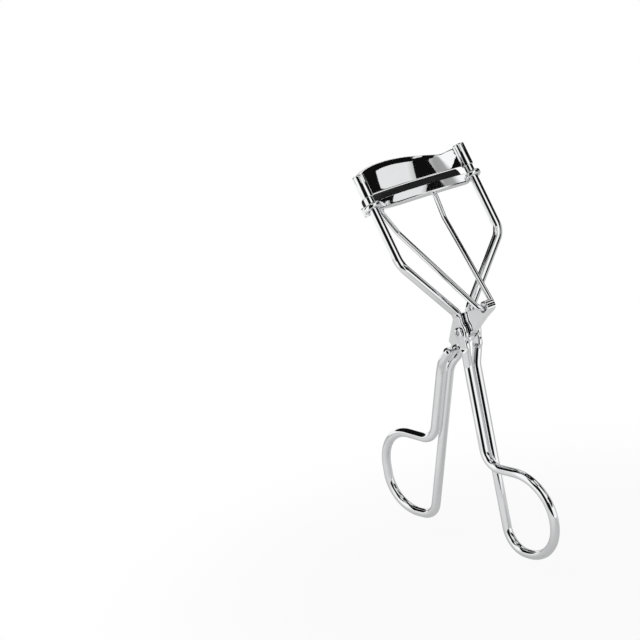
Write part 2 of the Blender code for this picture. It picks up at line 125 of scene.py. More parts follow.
def calc(tree, operation, *values):
    return add_node(tree, "ShaderNodeMath", dict(enumerate(values)), operation=operation).outputs[0]


def vector_calc(tree, operation, *values):
    node = add_node(tree, "ShaderNodeVectorMath", dict(enumerate(values)), operation=operation)
    return node.outputs["Value" if operation == "LENGTH" else "Vector"]


def between(tree, value, low, high, to_low, to_high, smooth=False):
    kind = "SMOOTHSTEP" if smooth else "LINEAR"
    sockets = {"Value": value, "From Min": low, "From Max": high, "To Min": to_low, "To Max": to_high}
    return add_node(tree, "ShaderNodeMapRange", sockets, interpolation_type=kind).outputs[0]


def new_group(name, kind, inputs, outputs):
    tree = bpy.data.node_groups.new(name, kind)
    for socket_name, socket_kind in inputs:
        tree.interface.new_socket(socket_name, in_out="INPUT", socket_type=socket_kind)
    for socket_name, socket_kind in outputs:
        tree.interface.new_socket(socket_name, in_out="OUTPUT", socket_type=socket_kind)
    return tree, tree.nodes.new("NodeGroupInput").outputs, tree.nodes.new("NodeGroupOutput").inputs


print("node helpers ready")

# %% [markdown]
# ## The polish on the chrome
# Plated chrome is nearly a mirror. What makes it look real is what breaks the mirror a little: hair
# lines left by the polishing wheel, a faint haze where fingers hold it, and a soft ripple in the
# plating. All three are noise at different sizes. They are kept in one shader group, because wires,
# sheet and rivet all use them with different amounts.

# %% Shader group: polish marks
polish, given, result = new_group(
    "polish_marks", "ShaderNodeTree",
    [("Along Lines", "NodeSocketVector"), ("Place", "NodeSocketVector"), ("Mirror", "NodeSocketFloat"),
     ("Line Amount", "NodeSocketFloat"), ("Haze Amount", "NodeSocketFloat")],
    [("Roughness", "NodeSocketFloat"), ("Haze", "NodeSocketFloat"), ("Height", "NodeSocketFloat")])
hair = add_node(polish, "ShaderNodeTexNoise",
                {"Vector": given["Along Lines"], "Scale": 1.0, "Detail": 3.0, "Roughness": 0.6})
hair_mask = between(polish, hair.outputs[0], 0.56, 0.74, 0.0, 1.0)
smear = add_node(polish, "ShaderNodeTexNoise",
                 {"Vector": given["Place"], "Scale": 150.0, "Detail": 4.0, "Roughness": 0.55})
haze_mask = between(polish, smear.outputs[0], 0.46, 0.72, 0.0, 1.0, smooth=True)
ripple = add_node(polish, "ShaderNodeTexNoise",
                  {"Vector": given["Place"], "Scale": 700.0, "Detail": 1.0, "Roughness": 0.4})
marks = calc(polish, "MULTIPLY", hair_mask, given["Line Amount"])
smears = calc(polish, "MULTIPLY", haze_mask, given["Haze Amount"])
put(polish, result["Roughness"], calc(polish, "ADD", given["Mirror"], calc(polish, "ADD", marks, smears)))
put(polish, result["Haze"], haze_mask)
put(polish, result["Height"], calc(polish, "MULTIPLY_ADD", hair.outputs[0], 0.35, ripple.outputs[0]))
print("polish group has", len(polish.nodes), "nodes")

# %% [markdown]
# ## Chrome for wire, sheet and rivet
# Each metal piece gets its own chrome, because the polishing lines run along the piece: up and down on
# the wires, from side to side on the jaws. A Mapping node stretches the noise in that direction. The
# metal value stays plain on the shader, and only colour, roughness and normal vary.

# %% Chrome materials
def chrome(name, stretch, mirror=0.035, lines=0.05, haze=0.05, tint=(0.93, 0.935, 0.945), relief=1.0):
    material = bpy.data.materials.new(name)
    material.use_nodes = True
    tree = material.node_tree
    shader = tree.nodes["Principled BSDF"]
    shader.inputs["Metallic"].default_value = 1.0
    place = tree.nodes.new("ShaderNodeTexCoord").outputs["Object"]
    mapping = add_node(tree, "ShaderNodeMapping", {"Vector": place, "Scale": stretch})
    marks = add_node(tree, "ShaderNodeGroup", node_tree=polish)
    for key, value in {"Along Lines": mapping.outputs[0], "Place": place, "Mirror": mirror,
                       "Line Amount": lines, "Haze Amount": haze}.items():
        put(tree, marks.inputs[key], value)
    colour = add_node(tree, "ShaderNodeMix", {"Factor": marks.outputs["Haze"]}, data_type="RGBA")
    colour_sockets = [s for s in colour.inputs if s.type == "RGBA"]
    colour_sockets[0].default_value = (*tint, 1)
    colour_sockets[1].default_value = (*[v * 0.95 for v in tint], 1)
    result = [s for s in colour.outputs if s.type == "RGBA"][0]
    tree.links.new(result, shader.inputs["Base Color"])
    tree.links.new(marks.outputs["Roughness"], shader.inputs["Roughness"])
    bump = add_node(tree, "ShaderNodeBump", {"Height": marks.outputs["Height"], "Strength": 1.0,
                                             "Distance": 1.6e-6 * relief})
    tree.links.new(bump.outputs[0], shader.inputs["Normal"])
    return material


wire_chrome = chrome("wire_chrome", (3000, 3000, 160))
push_chrome = chrome("push_wire_chrome", (3600, 2600, 300))
plate_chrome = chrome("plate_chrome", (140, 3200, 3200), mirror=0.03, lines=0.04, haze=0.04)
tray_chrome = chrome("tray_chrome", (160, 3000, 3000), mirror=0.04, lines=0.06)
bracket_chrome = chrome("bracket_chrome", (3000, 420, 420), mirror=0.05, lines=0.07)
rivet_chrome = chrome("rivet_chrome", (300, 3600, 3600), mirror=0.09, lines=0.09, haze=0.08, relief=2.0)
print("six chrome finishes")

# %% [markdown]
# ## The rubber
# The pad is moulded black rubber. It is matt with a fine grain. The grain is a small bump, and the dry
# bloom is a second, larger noise that lightens the black a little.

# %% Rubber material
def rubber(name):
    material = bpy.data.materials.new(name)
    material.use_nodes = True
    tree = material.node_tree
    shader = tree.nodes["Principled BSDF"]
    shader.inputs["Specular IOR Level"].default_value = 0.35
    place = tree.nodes.new("ShaderNodeTexCoord").outputs["Object"]
    grain = add_node(tree, "ShaderNodeTexNoise", {"Vector": place, "Scale": 5200.0, "Detail": 4.0})
    bloom = add_node(tree, "ShaderNodeTexNoise", {"Vector": place, "Scale": 420.0, "Detail": 3.0})
    ramp = tree.nodes.new("ShaderNodeValToRGB")
    ramp.color_ramp.elements[0].position = 0.38
    ramp.color_ramp.elements[0].color = (0.005, 0.005, 0.006, 1)
    ramp.color_ramp.elements[1].position = 0.72
    ramp.color_ramp.elements[1].color = (0.016, 0.016, 0.017, 1)
    tree.links.new(bloom.outputs[0], ramp.inputs[0])
    tree.links.new(ramp.outputs[0], shader.inputs["Base Color"])
    tree.links.new(between(tree, bloom.outputs[0], 0.3, 0.7, 0.48, 0.68), shader.inputs["Roughness"])
    bump = add_node(tree, "ShaderNodeBump", {"Height": grain.outputs[0], "Strength": 0.7,
                                             "Distance": 3.0e-5})
    tree.links.new(bump.outputs[0], shader.inputs["Normal"])
    return material


pad_rubber = rubber("pad_rubber")
print("rubber ready")

# %% [markdown]
# ## Routes of the wires
# A wire bender works from a list of corners, each with a bend radius. The same list is enough here:
# every corner is replaced by an arc that touches both straight runs. Where two bends would overlap,
# both are tightened until they meet.

# %% From corners to a smooth route
def rounded_route(corners, bend_step=math.radians(3)):
    points = [point for point, _ in corners]
    turns = [0.0]
    for before, corner, after in zip(points, points[1:], points[2:]):
        turns.append((corner - before).angle(after - corner))
    turns.append(0.0)
    tangents = [radius * math.tan(turn / 2) for (_, radius), turn in zip(corners, turns)]
    for i in range(len(points) - 1):
        share = (points[i + 1] - points[i]).length / max(tangents[i] + tangents[i + 1], 1e-6)
        if share < 1:
            tangents[i] *= share
            tangents[i + 1] *= share
    route = [points[0]]
    for i in range(1, len(points) - 1):
        if turns[i] < 1e-4:
            continue
        back = (points[i - 1] - points[i]).normalized()
        ahead = (points[i + 1] - points[i]).normalized()
        radius = tangents[i] / math.tan(turns[i] / 2)
        start = points[i] + back * tangents[i]
        centre = points[i] + (back + ahead).normalized() * (radius / math.cos(turns[i] / 2))
        axis = ahead.cross(back).normalized()
        steps = max(2, math.ceil(turns[i] / bend_step))
        for k in range(steps + 1):
            route.append(centre + Matrix.Rotation(turns[i] * k / steps, 3, axis) @ (start - centre))
    route.append(points[-1])
    return [p for p, q in zip(route, route[1:]) if (q - p).length > 1e-3] + [route[-1]]


def fill_route(route, coarse=1.0, fine=0.09, end_zone=1.3):
    """Add points on straight runs, close together at the two ends and near the pivot."""
    def step_at(point):
        if min((point - route[0]).length, (point - route[-1]).length) < end_zone:
            return fine
        return 0.25 if math.hypot(point.y, point.z) < 7 else coarse

    filled = [route[0]]
    for target in route[1:]:
        while (target - filled[-1]).length > 1.5 * step_at(filled[-1]):
            filled.append(filled[-1] + (target - filled[-1]).normalized() * step_at(filled[-1]))
        filled.append(target)
    return filled


def mirror_x(corner):
    return Vector((-corner[0].x, corner[0].y, corner[0].z)), corner[1]


def loop_corners(line_at, middle, radius, side, bends, half_gap):
    """Corners of a finger loop that swells to one side of a straight wire."""
    top = middle[1] + radius
    bottom = middle[1] - radius
    outer = middle[0] + side * radius
    return [(Vector((-half_gap, line_at(top), top)), bends[0]),
            (Vector((-half_gap / 2, outer, top)), radius),
            (Vector((half_gap / 2, outer, bottom)), bends[1]),
            (Vector((half_gap, line_at(bottom), bottom)), bends[2])]


print("route helpers ready")

# %% [markdown]
# ## A bent wire in Geometry Nodes
# A wire follows a path, which is just what Geometry Nodes is for: the route becomes a curve, a circle
# is swept along it, and the result is a mesh. Two rules are added. The ends are rounded by shrinking
# the sweep over the last radius of length, as a tumbled wire end is. Near the pivot the wire is beaten
# flat: its thickness is clamped and its width grows into a round eye.

# %% Geometry Nodes: bent wire with rounded ends and a flattened eye
bent_wire, given, result = new_group(
    "bent_wire", "GeometryNodeTree",
    [("Geometry", "NodeSocketGeometry"), ("Wire Radius", "NodeSocketFloat"), ("Sides", "NodeSocketInt"),
     ("Pivot", "NodeSocketVector"), ("Flat Reach", "NodeSocketFloat"), ("Flat Blend", "NodeSocketFloat"),
     ("Flat Thickness", "NodeSocketFloat"), ("Strap Width", "NodeSocketFloat"),
     ("Eye Width", "NodeSocketFloat"), ("Eye Reach", "NodeSocketFloat"),
     ("Finish", "NodeSocketMaterial")],
    [("Geometry", "NodeSocketGeometry")])
tree = bent_wire
radius = given["Wire Radius"]
path = add_node(tree, "GeometryNodeMeshToCurve", {"Mesh": given["Geometry"]})
done = tree.nodes.new("GeometryNodeSplineParameter").outputs["Length"]
whole = tree.nodes.new("GeometryNodeSplineLength").outputs["Length"]
to_end = calc(tree, "MINIMUM", done, calc(tree, "SUBTRACT", whole, done))
lack = calc(tree, "SUBTRACT", 1.0, calc(tree, "MINIMUM", calc(tree, "DIVIDE", to_end, radius), 1.0))
dome = calc(tree, "SQRT", calc(tree, "SUBTRACT", 1.0, calc(tree, "MULTIPLY", lack, lack)))
kept = tree.nodes.new("GeometryNodeCaptureAttribute")
kept.capture_items.new("VECTOR", "Centre")
put(tree, kept.inputs["Geometry"], path.outputs[0])
put(tree, kept.inputs["Centre"], tree.nodes.new("GeometryNodeInputPosition").outputs[0])
circle = add_node(tree, "GeometryNodeCurvePrimitiveCircle",
                  {"Resolution": given["Sides"], "Radius": radius}, mode="RADIUS")
tube = add_node(tree, "GeometryNodeCurveToMesh",
                {"Curve": kept.outputs["Geometry"], "Profile Curve": circle.outputs[0],
                 "Scale": calc(tree, "MAXIMUM", dome, 0.03), "Fill Caps": True})
centre = kept.outputs["Centre"]
out = vector_calc(tree, "SUBTRACT", tree.nodes.new("GeometryNodeInputPosition").outputs[0], centre)
aside = vector_calc(tree, "MULTIPLY", vector_calc(tree, "SUBTRACT", centre, given["Pivot"]), (0, 1, 1))
away = vector_calc(tree, "LENGTH", aside)
flat = between(tree, away, given["Flat Reach"],
               calc(tree, "ADD", given["Flat Reach"], given["Flat Blend"]), 1.0, 0.0, smooth=True)
thick = between(tree, flat, 0.0, 1.0, radius, calc(tree, "MULTIPLY", given["Flat Thickness"], 0.5))
strap = between(tree, flat, 0.0, 1.0, radius, calc(tree, "MULTIPLY", given["Strap Width"], 0.5))
near = calc(tree, "DIVIDE", away, given["Eye Reach"])
eye = calc(tree, "SQRT", calc(tree, "MAXIMUM", calc(tree, "SUBTRACT", 1.0,
                                                    calc(tree, "MULTIPLY", near, near)), 0.0))
eye_half = calc(tree, "MULTIPLY", calc(tree, "MULTIPLY", given["Eye Width"], 0.5), eye)
widen = calc(tree, "DIVIDE", calc(tree, "MAXIMUM", strap, eye_half), radius)
parts = add_node(tree, "ShaderNodeSeparateXYZ", {0: out}).outputs
squeezed = calc(tree, "MAXIMUM", calc(tree, "MINIMUM", parts[0], thick),
                calc(tree, "MULTIPLY", thick, -1.0))
beaten = add_node(tree, "ShaderNodeCombineXYZ",
                  {0: squeezed, 1: calc(tree, "MULTIPLY", parts[1], widen),
                   2: calc(tree, "MULTIPLY", parts[2], widen)})
moved = add_node(tree, "GeometryNodeSetPosition",
                 {"Geometry": tube.outputs[0],
                  "Position": vector_calc(tree, "ADD", centre, beaten.outputs[0])})
smooth = add_node(tree, "GeometryNodeSetShadeSmooth", {0: moved.outputs[0]})
single = add_node(tree, "GeometryNodeRealizeInstances", {0: smooth.outputs[0]})
coated = add_node(tree, "GeometryNodeSetMaterial",
                  {"Geometry": single.outputs[0], "Material": given["Finish"]})
put(tree, result["Geometry"], coated.outputs[0])
print("bent wire tree has", len(tree.nodes), "nodes")


# %% Turn a route into a plain mesh piece
def plain_piece(source, name):
    """Freeze an object's modifiers into a new object at the origin."""
    evaluated = source.evaluated_get(bpy.context.evaluated_depsgraph_get())
    mesh = bpy.data.meshes.new_from_object(evaluated)
    old_mesh = source.data
    bpy.data.objects.remove(source)
    bpy.data.meshes.remove(old_mesh)
    mesh.name = name
    shape = bmesh.new()
    shape.from_mesh(mesh)
    bmesh.ops.recalc_face_normals(shape, faces=shape.faces)
    shape.to_mesh(mesh)
    shape.free()
    piece = bpy.data.objects.new(name, mesh)
    bpy.context.collection.objects.link(piece)
    print(name, "has", sum(len(face.vertices) - 2 for face in mesh.polygons), "triangles")
    return piece


def wire_piece(name, routes, radius, finish, sides=40, **eye):
    points = []
    edges = []
    for route in routes:
        edges += [(len(points) + i, len(points) + i + 1) for i in range(len(route) - 1)]
        points += route
    mesh = bpy.data.meshes.new(name + "_route")
    mesh.from_pydata(points, edges, [])
    source = bpy.data.objects.new(name + "_route", mesh)
    bpy.context.collection.objects.link(source)
    modifier = source.modifiers.new("bent_wire", "NODES")
    modifier.node_group = bent_wire
    values = {"Wire Radius": radius * MM, "Sides": sides, "Pivot": PIVOT * MM, "Flat Reach": -1.0,
              "Flat Blend": 0.01, "Flat Thickness": radius * MM, "Strap Width": radius * MM,
              "Eye Width": 0.0, "Eye Reach": 0.003, "Finish": finish, **eye}
    for item in bent_wire.interface.items_tree:
        if item.in_out == "INPUT" and item.name in values:
            modifier[item.identifier] = values[item.name]
    return plain_piece(source, name)


# %% [markdown]
# ## The frame wire
# The frame starts at one rod top, runs down to the shoulder and in to the neck, passes the pivot as a
# flat eye, and goes down beside its twin to the finger loop. After the loop it comes back up the other
# side. So the list of corners is one half, then the loop, then the other half mirrored.

# %% Frame wire
FLAT_REACH = 4.0  # past the bracket's upper corner: with a shorter flat the wire cuts into the bracket
FLAT_BLEND = 1.2
neck = Vector((EYE_X, 1.0, 4.7))
flat_end = -Vector((0, neck.y, neck.z)).normalized() * 3.6
frame_gap = 1.4


def frame_line(height):
    return -0.28 + (height + 9.3) * 0.1186


right_half = [(Vector((ROD_X, ROD_TOP.y, ROD_TOP.z)) - UP_ROD * 0.2, 0), (SHOULDER, 5.0), (neck, 3.0),
              (Vector((EYE_X, flat_end.y, flat_end.z)), 8.0), (Vector((frame_gap, -0.28, -9.3)), 8.0)]
finger_loop = loop_corners(frame_line, (-12.65, -47.0), 11.4, -1, (5.2, 11.4, 6.6), frame_gap)
frame_route = rounded_route([mirror_x(c) for c in right_half] + finger_loop + right_half[::-1])
frame_wire = wire_piece("frame_wire_bent", [[from_pivot(p) for p in fill_route(frame_route)]], WIRE_R,
                        wire_chrome, **{"Flat Reach": FLAT_REACH * MM, "Flat Blend": FLAT_BLEND * MM,
                                        "Flat Thickness": 0.0013, "Strap Width": 0.003,
                                        "Eye Width": 0.0043, "Eye Reach": 0.003})

# %% [markdown]
# ## The lever's handle
# The second thick wire starts beside the bracket, where both its ends are brazed to the tongue, bends
# at the knee, and runs down to the other finger loop. It is the same tree with another route.

# %% Lever handle
tongue_start = Vector((0, 4.5, -5.1))
knee = Vector((0, 9.7, -11.2))
tongue_way = (knee - tongue_start).normalized()
tongue_stop = tongue_start + tongue_way * 4.5
SEAT_GAP = 0.25
CAD_WIRE_R = 1.25
seat_x = BRACKET_HALF + SEAT_GAP + CAD_WIRE_R
lever_gap = 1.6


def lever_line(height):
    return knee.y - (height - knee.z) * 0.277


right_half = [(Vector((seat_x, tongue_start.y, tongue_start.z)), 0),
              (Vector((seat_x, tongue_stop.y, tongue_stop.z)), 8.0),
              (Vector((lever_gap, knee.y, knee.z)), 8.0)]
finger_loop = loop_corners(lever_line, (25.4, -43.9), 11.8, 1, (5.5, 9.6, 4.9), lever_gap)
lever_route = rounded_route([mirror_x(c) for c in right_half] + finger_loop + right_half[::-1])
lever_handle = wire_piece("lever_handle_bent", [[from_pivot(p) for p in fill_route(lever_route)]],
                          WIRE_R, wire_chrome)

# %% [markdown]
# ## The curve of the jaws
# Both jaws follow one arc, shaped to the eyelid. The plate's ends are rolled round the rods, so the
# arc touches each roll from outside. The jaws are also pitched: their middle stands higher than their
# ends.

# %% Jaw arc
JAW_SHEET = 0.30
ROLL_R = 1.40
SAGITTA = 9.0
JAW_PITCH = 0.27
JAW_R = (ROD_X ** 2 + SAGITTA ** 2 - ROLL_R ** 2) / (2 * (SAGITTA - ROLL_R))
ROD_ANGLE = math.atan2(ROD_X, JAW_R - SAGITTA)
PLATE_LOW = -5.8
PLATE_CROWN = 4.1
LIP_HEIGHT = 2.0
LIP_FLARE = 0.4
PLATE_LEAN = 0.12
PAD_TOP = -5.98
TRAY_RIM = -8.0
TRAY_BOTTOM = -10.5
TRAY_HALF = 1.75
GUIDE_R = 2.26


def jaw_point(angle, outward, height):
    y = SAGITTA - JAW_R + JAW_R * math.cos(angle)
    return Vector(((JAW_R + outward) * math.sin(angle), y + outward * math.cos(angle),
                   height + JAW_PITCH * y))


def ringed_piece(name, shells, finish, crease=40):
    """A closed mesh from shells, each a list of rings of points with the same count.

    A shell is closed by a flat cap at both ends, or is joined to itself where loop is true.
    """
    shape = bmesh.new()
    for rings, loop in shells:
        rows = [[shape.verts.new(point) for point in ring] for ring in rings]
        pairs = list(zip(rows, rows[1:]))
        if loop:
            pairs.append((rows[-1], rows[0]))
        else:
            shape.faces.new(rows[0])
            shape.faces.new(rows[-1])
        for row, following in pairs:
            for k in range(len(row)):
                after = (k + 1) % len(row)
                shape.faces.new((row[k], row[after], following[after], following[k]))
    bmesh.ops.recalc_face_normals(shape, faces=shape.faces)
    mesh = bpy.data.meshes.new(name)
    shape.to_mesh(mesh)
    shape.free()
    mesh.materials.append(finish)
    mesh.shade_smooth()
    mesh.set_sharp_from_angle(angle=math.radians(crease))
    piece = bpy.data.objects.new(name, mesh)
    bpy.context.collection.objects.link(piece)
    print(name, "has", sum(len(face.vertices) - 2 for face in mesh.polygons), "triangles")
    return piece


print("jaw arc radius", round(JAW_R, 2), "mm")

# %% [markdown]
# ## The upper jaw
# The upper jaw is one strip of sheet. Seen from above it is the arc with a curl at each end, and seen
# from the front its top edge rises in the middle and again where it becomes a sleeve. So the mesh is a
# row of thin upright sections with rounded edges, placed along that plan.

# %% Upper jaw
def sheet_section(low, high, flare, half=JAW_SHEET / 2, steps=8):
    """Outline of a sheet seen end on: rounded edges, and a top lip that flares outwards."""
    top = [(half * math.cos(math.pi * k / steps), high - half + half * math.sin(math.pi * k / steps))
           for k in range(steps + 1)]
    bottom = [(-outward, low + high - height) for outward, height in top]
    lip = [high - LIP_HEIGHT + (LIP_HEIGHT - half) * k / 12 for k in range(12)]
    outline = [(half, height) for height in lip] + top + [(-half, height) for height in lip[::-1]] + bottom
    return [(outward + flare * max(0.0, 1 - (high - height) / LIP_HEIGHT) ** 2, height)
            for outward, height in outline]


def rolled_sheet():
    rings = []
    half = JAW_SHEET / 2
    wrap = 2 * math.pi - math.acos((ROLL_R - half) / (ROLL_R + half + 0.35))
    roll_steps = 96
    arc_steps = 140

    def add_ring(angle, x, y, low, high, flare, lean=0.0):
        section = [(o + lean * (h - low), h) for o, h in sheet_section(low, high, flare)]
        rings.append([from_rods((x + o * math.sin(angle), y + o * math.cos(angle), h)) for o, h in section])

    def add_roll(side, steps):
        for i in steps:
            angle = side * (ROD_ANGLE + wrap * i / roll_steps)
            add_ring(angle, side * ROD_X + ROLL_R * math.sin(angle), ROLL_R * math.cos(angle), -6.0, 0, 0)

    add_roll(-1, range(roll_steps, 0, -1))
    for i in range(arc_steps + 1):
        angle = ROD_ANGLE * (2 * i / arc_steps - 1)
        low = jaw_point(angle, 0, PLATE_LOW)
        crown = PLATE_CROWN * (1 - (angle / ROD_ANGLE / 0.74) ** 2)
        crown = (crown + math.hypot(crown, 0.3)) / 2
        to_roll = JAW_R * (ROD_ANGLE - abs(angle))
        sleeve = 1 - smooth_step(to_roll / 2.4)
        add_ring(angle, low.x, low.y, low.z + (-6.0 - low.z) * sleeve, crown * (1 - sleeve),
                 LIP_FLARE * smooth_step(2 * crown / PLATE_CROWN), PLATE_LEAN * smooth_step(to_roll / 6))
    add_roll(1, range(1, roll_steps + 1))
    return rings


upper_jaw = ringed_piece("upper_jaw_rolled", [(rolled_sheet(), False)], plate_chrome)

# %% [markdown]
# ## The lower jaw
# The lower jaw is a small channel that holds the pad, with a ring at each end that slides on a rod.
# The channel's section is a U with rounded corners. The rings are turned sections, rounded at both
# rims, and overlap the channel's ends where the real ones are folded on.

# %% Lower jaw
def rounded_section(corners, steps=6):
    """A closed 2-D outline from (x, y, corner radius)."""
    outline = []
    count = len(corners)
    for i, (x, y, radius) in enumerate(corners):
        here = Vector((x, y))
        back = (Vector(corners[i - 1][:2]) - here).normalized()
        ahead = (Vector(corners[(i + 1) % count][:2]) - here).normalized()
        turn = math.pi - back.angle(ahead)
        reach = radius * math.tan(turn / 2)
        if radius <= 0 or turn < 1e-3:
            outline.append((x, y))
            continue
        middle = here + (back + ahead).normalized() * (radius / math.cos(turn / 2))
        first = here + back * reach - middle
        sense = 1 if back.x * ahead.y - back.y * ahead.x < 0 else -1
        for k in range(steps + 1):
            bend = Matrix.Rotation(sense * turn * k / steps, 2)
            outline.append(tuple(middle + bend @ first))
    return outline


def swept_along_jaw(half_angle, section_at, steps=160):
    """Sections along the arc, closer together near its ends. section_at is given the way to the end."""
    rings = []
    for i in range(steps + 1):
        angle = half_angle * math.sin(math.pi * (i / steps - 0.5))
        from_end = JAW_R * (half_angle - abs(angle))
        rings.append([from_rods(jaw_point(angle, o, h)) for o, h in section_at(from_end)])
    return rings


def turned_rings(profile, middle, sides=64, tilt=0.0):
    """A closed profile of (radius, height) turned about an upright axis in the jaw frame, then tilted."""
    rings = []
    for k in range(sides):
        c = math.cos(2 * math.pi * k / sides)
        s = math.sin(2 * math.pi * k / sides)
        rings.append([from_rods((middle.x + r * c, middle.y + r * s, middle.z + h + tilt * r * s))
                      for r, h in profile])
    return rings


def channel(from_end):
    """A U, whose outer wall is rounded in towards the guide ring."""
    lack = 1 - min(from_end / 1.5, 1)
    back = 1.2 + (2 * TRAY_HALF - 1.2) * math.sqrt(1 - lack * lack) - TRAY_HALF
    front = TRAY_HALF - 0.5
    return rounded_section([(-TRAY_HALF, TRAY_BOTTOM, 0.45), (back, TRAY_BOTTOM, 0.45),
                            (back, TRAY_RIM, 0.2), (back - 0.5, TRAY_RIM, 0.2),
                            (back - 0.5, TRAY_BOTTOM + 0.6, 0.08), (-front, TRAY_BOTTOM + 0.6, 0.08),
                            (-front, TRAY_RIM, 0.1), (0.28 - TRAY_HALF, TRAY_RIM, 0.1)])


guide_wall = rounded_section([(1.46, -0.64, 0.15), (GUIDE_R, -0.64, 0.40), (GUIDE_R, 0.64, 0.40),
                              (1.46, 0.64, 0.15)])
guides = [turned_rings(guide_wall, Vector((side * ROD_X, 0, -8.7)), tilt=-0.2) for side in (-1, 1)]
lower_jaw = ringed_piece("lower_jaw_tray",
                         [(swept_along_jaw(ROD_ANGLE - GUIDE_R / 2 / JAW_R - 0.02, channel), False)]
                         + [(rings, True) for rings in guides], tray_chrome)

# %% [markdown]
# ## The pad
# The pad is a strip of black rubber pushed into the channel. Only its round crown stands proud. Its
# ends are rounded over, and a shallow line runs along the crown where the plate closes on it.

# %% Lash pad
PAD_HALF = 1.0


def pad_rings():
    reach = ROD_ANGLE - math.asin((GUIDE_R + 0.45) / JAW_R)
    low = PAD_TOP - 3.67
    steps = 160
    rings = []
    for i in range(steps + 1):
        angle = reach * (2 * i / steps - 1)
        from_tip = JAW_R * (reach - abs(angle))
        lack = 1 - min(from_tip / 0.9, 1)
        full = max(math.sqrt(1 - lack * lack), 0.12)
        ring = [(-PAD_HALF, low), (PAD_HALF, low)]
        for k in range(33):
            turn = math.pi * k / 32
            dent = 0.03 * math.exp(-((turn - math.pi / 2) / 0.22) ** 2)
            ring.append((PAD_HALF * math.cos(turn), PAD_TOP - PAD_HALF + (PAD_HALF - dent) * math.sin(turn)))
        rings.append([from_rods(jaw_point(angle, o * full, low + (h - low) * (0.5 + 0.5 * full)))
                      for o, h in ring])
    return rings


lash_pad = ringed_piece("lash_pad_rubber", [(pad_rings(), False)], pad_rubber, crease=50)

# %% [markdown]
# ## The push wire
# A thin wire joins the lower jaw to the lever. Its two ends stand in the channel's floor, its arms run
# back under the plate, and its middle is a short bar that turns in the lever's knuckle. It is the same
# wire tree, with a thinner circle.

# %% Push wire
def to_rods(point):
    return JAW_FRAME.inverted() @ Vector(point)


def arm_top(side):
    return jaw_point(math.asin(side * 9.3 / JAW_R), 0, TRAY_BOTTOM + 0.3)


def push_arm(side):
    top = arm_top(side)
    bar = to_rods(CROSSBAR)
    bend = Vector((side * 8.0, top.y - 0.8, top.z - 7.3))
    return [(top, 0), (top - Vector((0, 0, 1.2)), 5.0), (bend, 5.0),
            (Vector((side * (BRACKET_HALF + 0.3 + 0.725), bar.y, bar.z)), 1.6)]


push_route = rounded_route(push_arm(1) + push_arm(-1)[::-1])
push_route = [JAW_FRAME @ point for point in push_route]
push_wire = wire_piece("push_wire_bent", [[from_pivot(p) for p in fill_route(push_route)]], PUSH_R,
                       push_chrome, sides=28)

# %% [markdown]
# ## The lever's bracket
# The bracket is one stamped sheet folded to a U: two flanks, a web between them, a rolled knuckle with
# a slot for the push wire's bar, and a tongue for the handle. It is easiest to start from the full
# outline as a solid, take out the hollow, the slot and the rivet hole with Booleans, and then break
# every sharp edge with a small bevel, as tumbling does to the real one.

# %% Bracket outline
def arc_outline(middle, radius, start, end, steps):
    return [(middle[0] + radius * math.cos(start + (end - start) * i / steps),
             middle[1] + radius * math.sin(start + (end - start) * i / steps)) for i in range(steps + 1)]


SHEET = 0.5
bar_2d = Vector((CROSSBAR.y, CROSSBAR.z))
arm_way = bar_2d.normalized()
slot_near = bar_2d - arm_way * 0.35
slot_far = bar_2d + arm_way * 0.55
arm_turn = math.atan2(arm_way.y, arm_way.x)
slot_r = 0.725 + 0.25
knuckle_r = slot_r + SHEET
knuckle_side = Vector((-arm_way.y, arm_way.x)) * knuckle_r
web_lean = math.radians(43.5)
up_web = Vector((-math.sin(web_lean), math.cos(web_lean)))
web_side = Vector((-up_web.y, up_web.x)) * (0.9 + 0.25 + 0.3 + SHEET)
web = [slot_near + knuckle_side, web_side + up_web * (slot_near.dot(up_web) - 2 * knuckle_r),
       web_side - up_web * 2.9]
tongue_2d = Vector((tongue_start.y, tongue_start.z))
tongue_way_2d = Vector((tongue_way.y, tongue_way.z))
tongue_side = Vector((tongue_way_2d.y, -tongue_way_2d.x)) * 2.0
tongue_tip = tongue_2d + tongue_way_2d * 4.5
flank = web + [tongue_2d + tongue_side * 0.75, tongue_2d + tongue_side * 0.5,
               tongue_tip + tongue_side * 0.5, tongue_tip - tongue_side * 0.5,
               tongue_2d - tongue_side * 0.5, tongue_2d - tongue_side * 1.1,
               Vector((1.7 * 2.15, 1.25 * 2.15)), Vector((0.45 * 2.15, 2.05 * 2.15)),
               slot_near - arm_way * knuckle_r * 1.6 - knuckle_side * 0.95]
rounds = [3.0, 2.0, 0.4, 0.2, 0.3, 0.45, 0.45, 0.3, 0.5, 1.0, 1.6, 2.0]
knuckle = arc_outline(slot_far, knuckle_r, arm_turn - math.pi / 2, arm_turn + math.pi / 2, 32)
outline = rounded_section([(*point, bend) for point, bend in zip(flank, rounds)]
                          + [(*point, 0) for point in knuckle])
print("bracket outline has", len(outline), "points")


# %% Bracket solid, cuts and bevel
def side_plate(name, outlines, half_width):
    """Prisms along X from outlines in (Y, Z), in millimetres."""
    shape = bmesh.new()
    for points in outlines:
        near_side = [shape.verts.new((-half_width, *point)) for point in points]
        far_side = [shape.verts.new((half_width, *point)) for point in points]
        shape.faces.new(near_side)
        shape.faces.new(far_side)
        for k in range(len(points)):
            after = (k + 1) % len(points)
            shape.faces.new((near_side[k], near_side[after], far_side[after], far_side[k]))
    bmesh.ops.recalc_face_normals(shape, faces=shape.faces)
    mesh = bpy.data.meshes.new(name)
    shape.to_mesh(mesh)
    shape.free()
    plate = bpy.data.objects.new(name, mesh)
    bpy.context.collection.objects.link(plate)
    return plate


def inward(point, edge_from, edge_to, distance):
    edge = (edge_to - edge_from).normalized()
    return point + Vector((-edge.y, edge.x)) * distance


